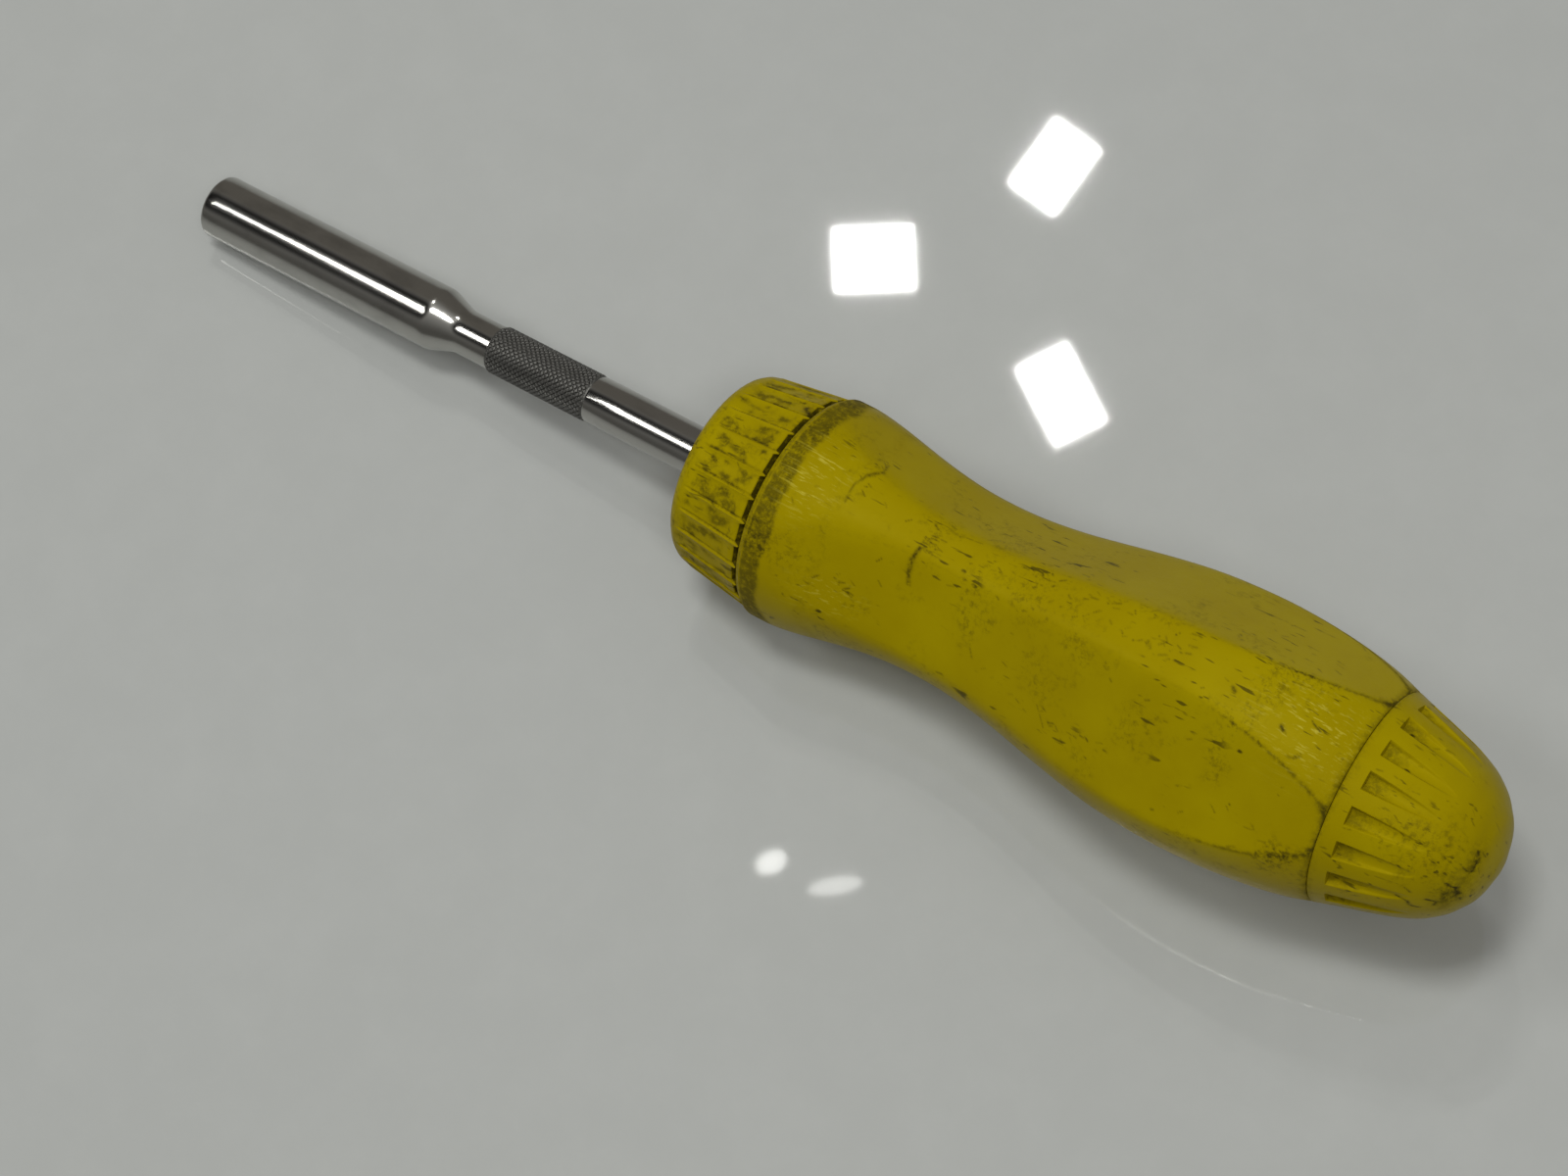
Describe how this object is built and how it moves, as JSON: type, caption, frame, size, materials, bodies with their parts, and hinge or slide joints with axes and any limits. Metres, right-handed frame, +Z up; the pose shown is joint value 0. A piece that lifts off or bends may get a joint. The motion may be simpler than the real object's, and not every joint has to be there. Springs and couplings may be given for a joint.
{
  "type": "ratcheting screwdriver",
  "caption": "Ratcheting bit screwdriver: steel hex-socket barrel with knurled shank, fluted direction collar, contoured plastic handle storing spare bits under a screw-off end cap.",
  "frame": {"origin": "on the ground under the middle of the tool, which lies on one lobe of its handle with the axis level", "axes": "+X from the bit socket towards the end cap, along the axis; +Z up; +Y sideways"},
  "size_m": [0.222, 0.0378, 0.0378],
  "materials": {
    "yellow_plastic": "semi-gloss moulded yellow, worn and grimy",
    "collar_plastic": "semi-gloss moulded yellow",
    "cap_plastic": "semi-gloss moulded yellow",
    "polished_steel": "ground and polished, matt on the knurl",
    "cage_steel": "machined steel",
    "gear_steel": "hardened steel, oiled",
    "screw_steel": "plated steel",
    "spring_steel": "spring steel",
    "ball_steel": "polished ball",
    "bit_steel": "tool steel, grey",
    "magnet": "nickel-plated magnet",
    "black_plastic": "matt black moulding",
    "seal_rubber": "black rubber"
  },
  "bodies": {
    "handle": {"grip_handle": "yellow_plastic", "ratchet_housing": "cage_steel", "cover_plate": "cage_steel", "cover_screws": "screw_steel", "pawl_pins": "screw_steel", "pawl_springs": "spring_steel", "detent_ball": "ball_steel", "detent_spring": "spring_steel", "thrust_washer": "spring_steel", "bit_carrier": "black_plastic", "phillips_bit": "bit_steel", "slotted_bit": "bit_steel", "torx_bit": "bit_steel", "square_bit": "bit_steel", "hex_bit": "bit_steel"},
    "selector": {"selector_collar": "collar_plastic", "cam_ring": "cage_steel"},
    "shank": {"shank": "polished_steel", "socket_magnet": "magnet", "ratchet_gear": "gear_steel", "rear_retaining_clip": "spring_steel"},
    "pawl_left": {"pawl_left": "gear_steel"},
    "pawl_right": {"pawl_right": "gear_steel"},
    "cap_seal": {"cap_o_ring": "seal_rubber"},
    "end_cap": {"end_cap": "cap_plastic"}
  },
  "joints": [
    {"name": "shank_spin", "type": "hinge", "parent": "handle", "child": "shank", "pos_m": [-0.051, 0, 0.0189], "axis": [1, 0, 0], "continuous": true},
    {"name": "selector_turn", "type": "hinge", "parent": "handle", "child": "selector", "pos_m": [-0.007, 0, 0.0189], "axis": [1, 0, 0], "range_deg": [-20, 20]},
    {"name": "pawl_left_swing", "type": "hinge", "parent": "handle", "child": "pawl_left", "pos_m": [-0.0065, -0.00766, 0.02332], "axis": [1, 0, 0], "range_deg": [-8, 8]},
    {"name": "pawl_right_swing", "type": "hinge", "parent": "handle", "child": "pawl_right", "pos_m": [-0.0065, 0.00766, 0.02332], "axis": [1, 0, 0], "range_deg": [-8, 8]},
    {"name": "cap_travel", "type": "slide", "parent": "handle", "child": "cap_seal", "axis": [1, 0, 0], "range_m": [0, 0.009]},
    {"name": "cap_turn", "type": "hinge", "parent": "cap_seal", "child": "end_cap", "pos_m": [0.099, 0, 0.0189], "axis": [1, 0, 0], "range_deg": [0, 1080]}
  ],
  "couplings": [
    {"joint": "pawl_left_swing", "follows": "selector_turn", "ratio": -0.4},
    {"joint": "pawl_right_swing", "follows": "selector_turn", "ratio": -0.4},
    {"joint": "cap_travel", "follows": "cap_turn", "m_per_rad": 0.00047746}
  ]
}
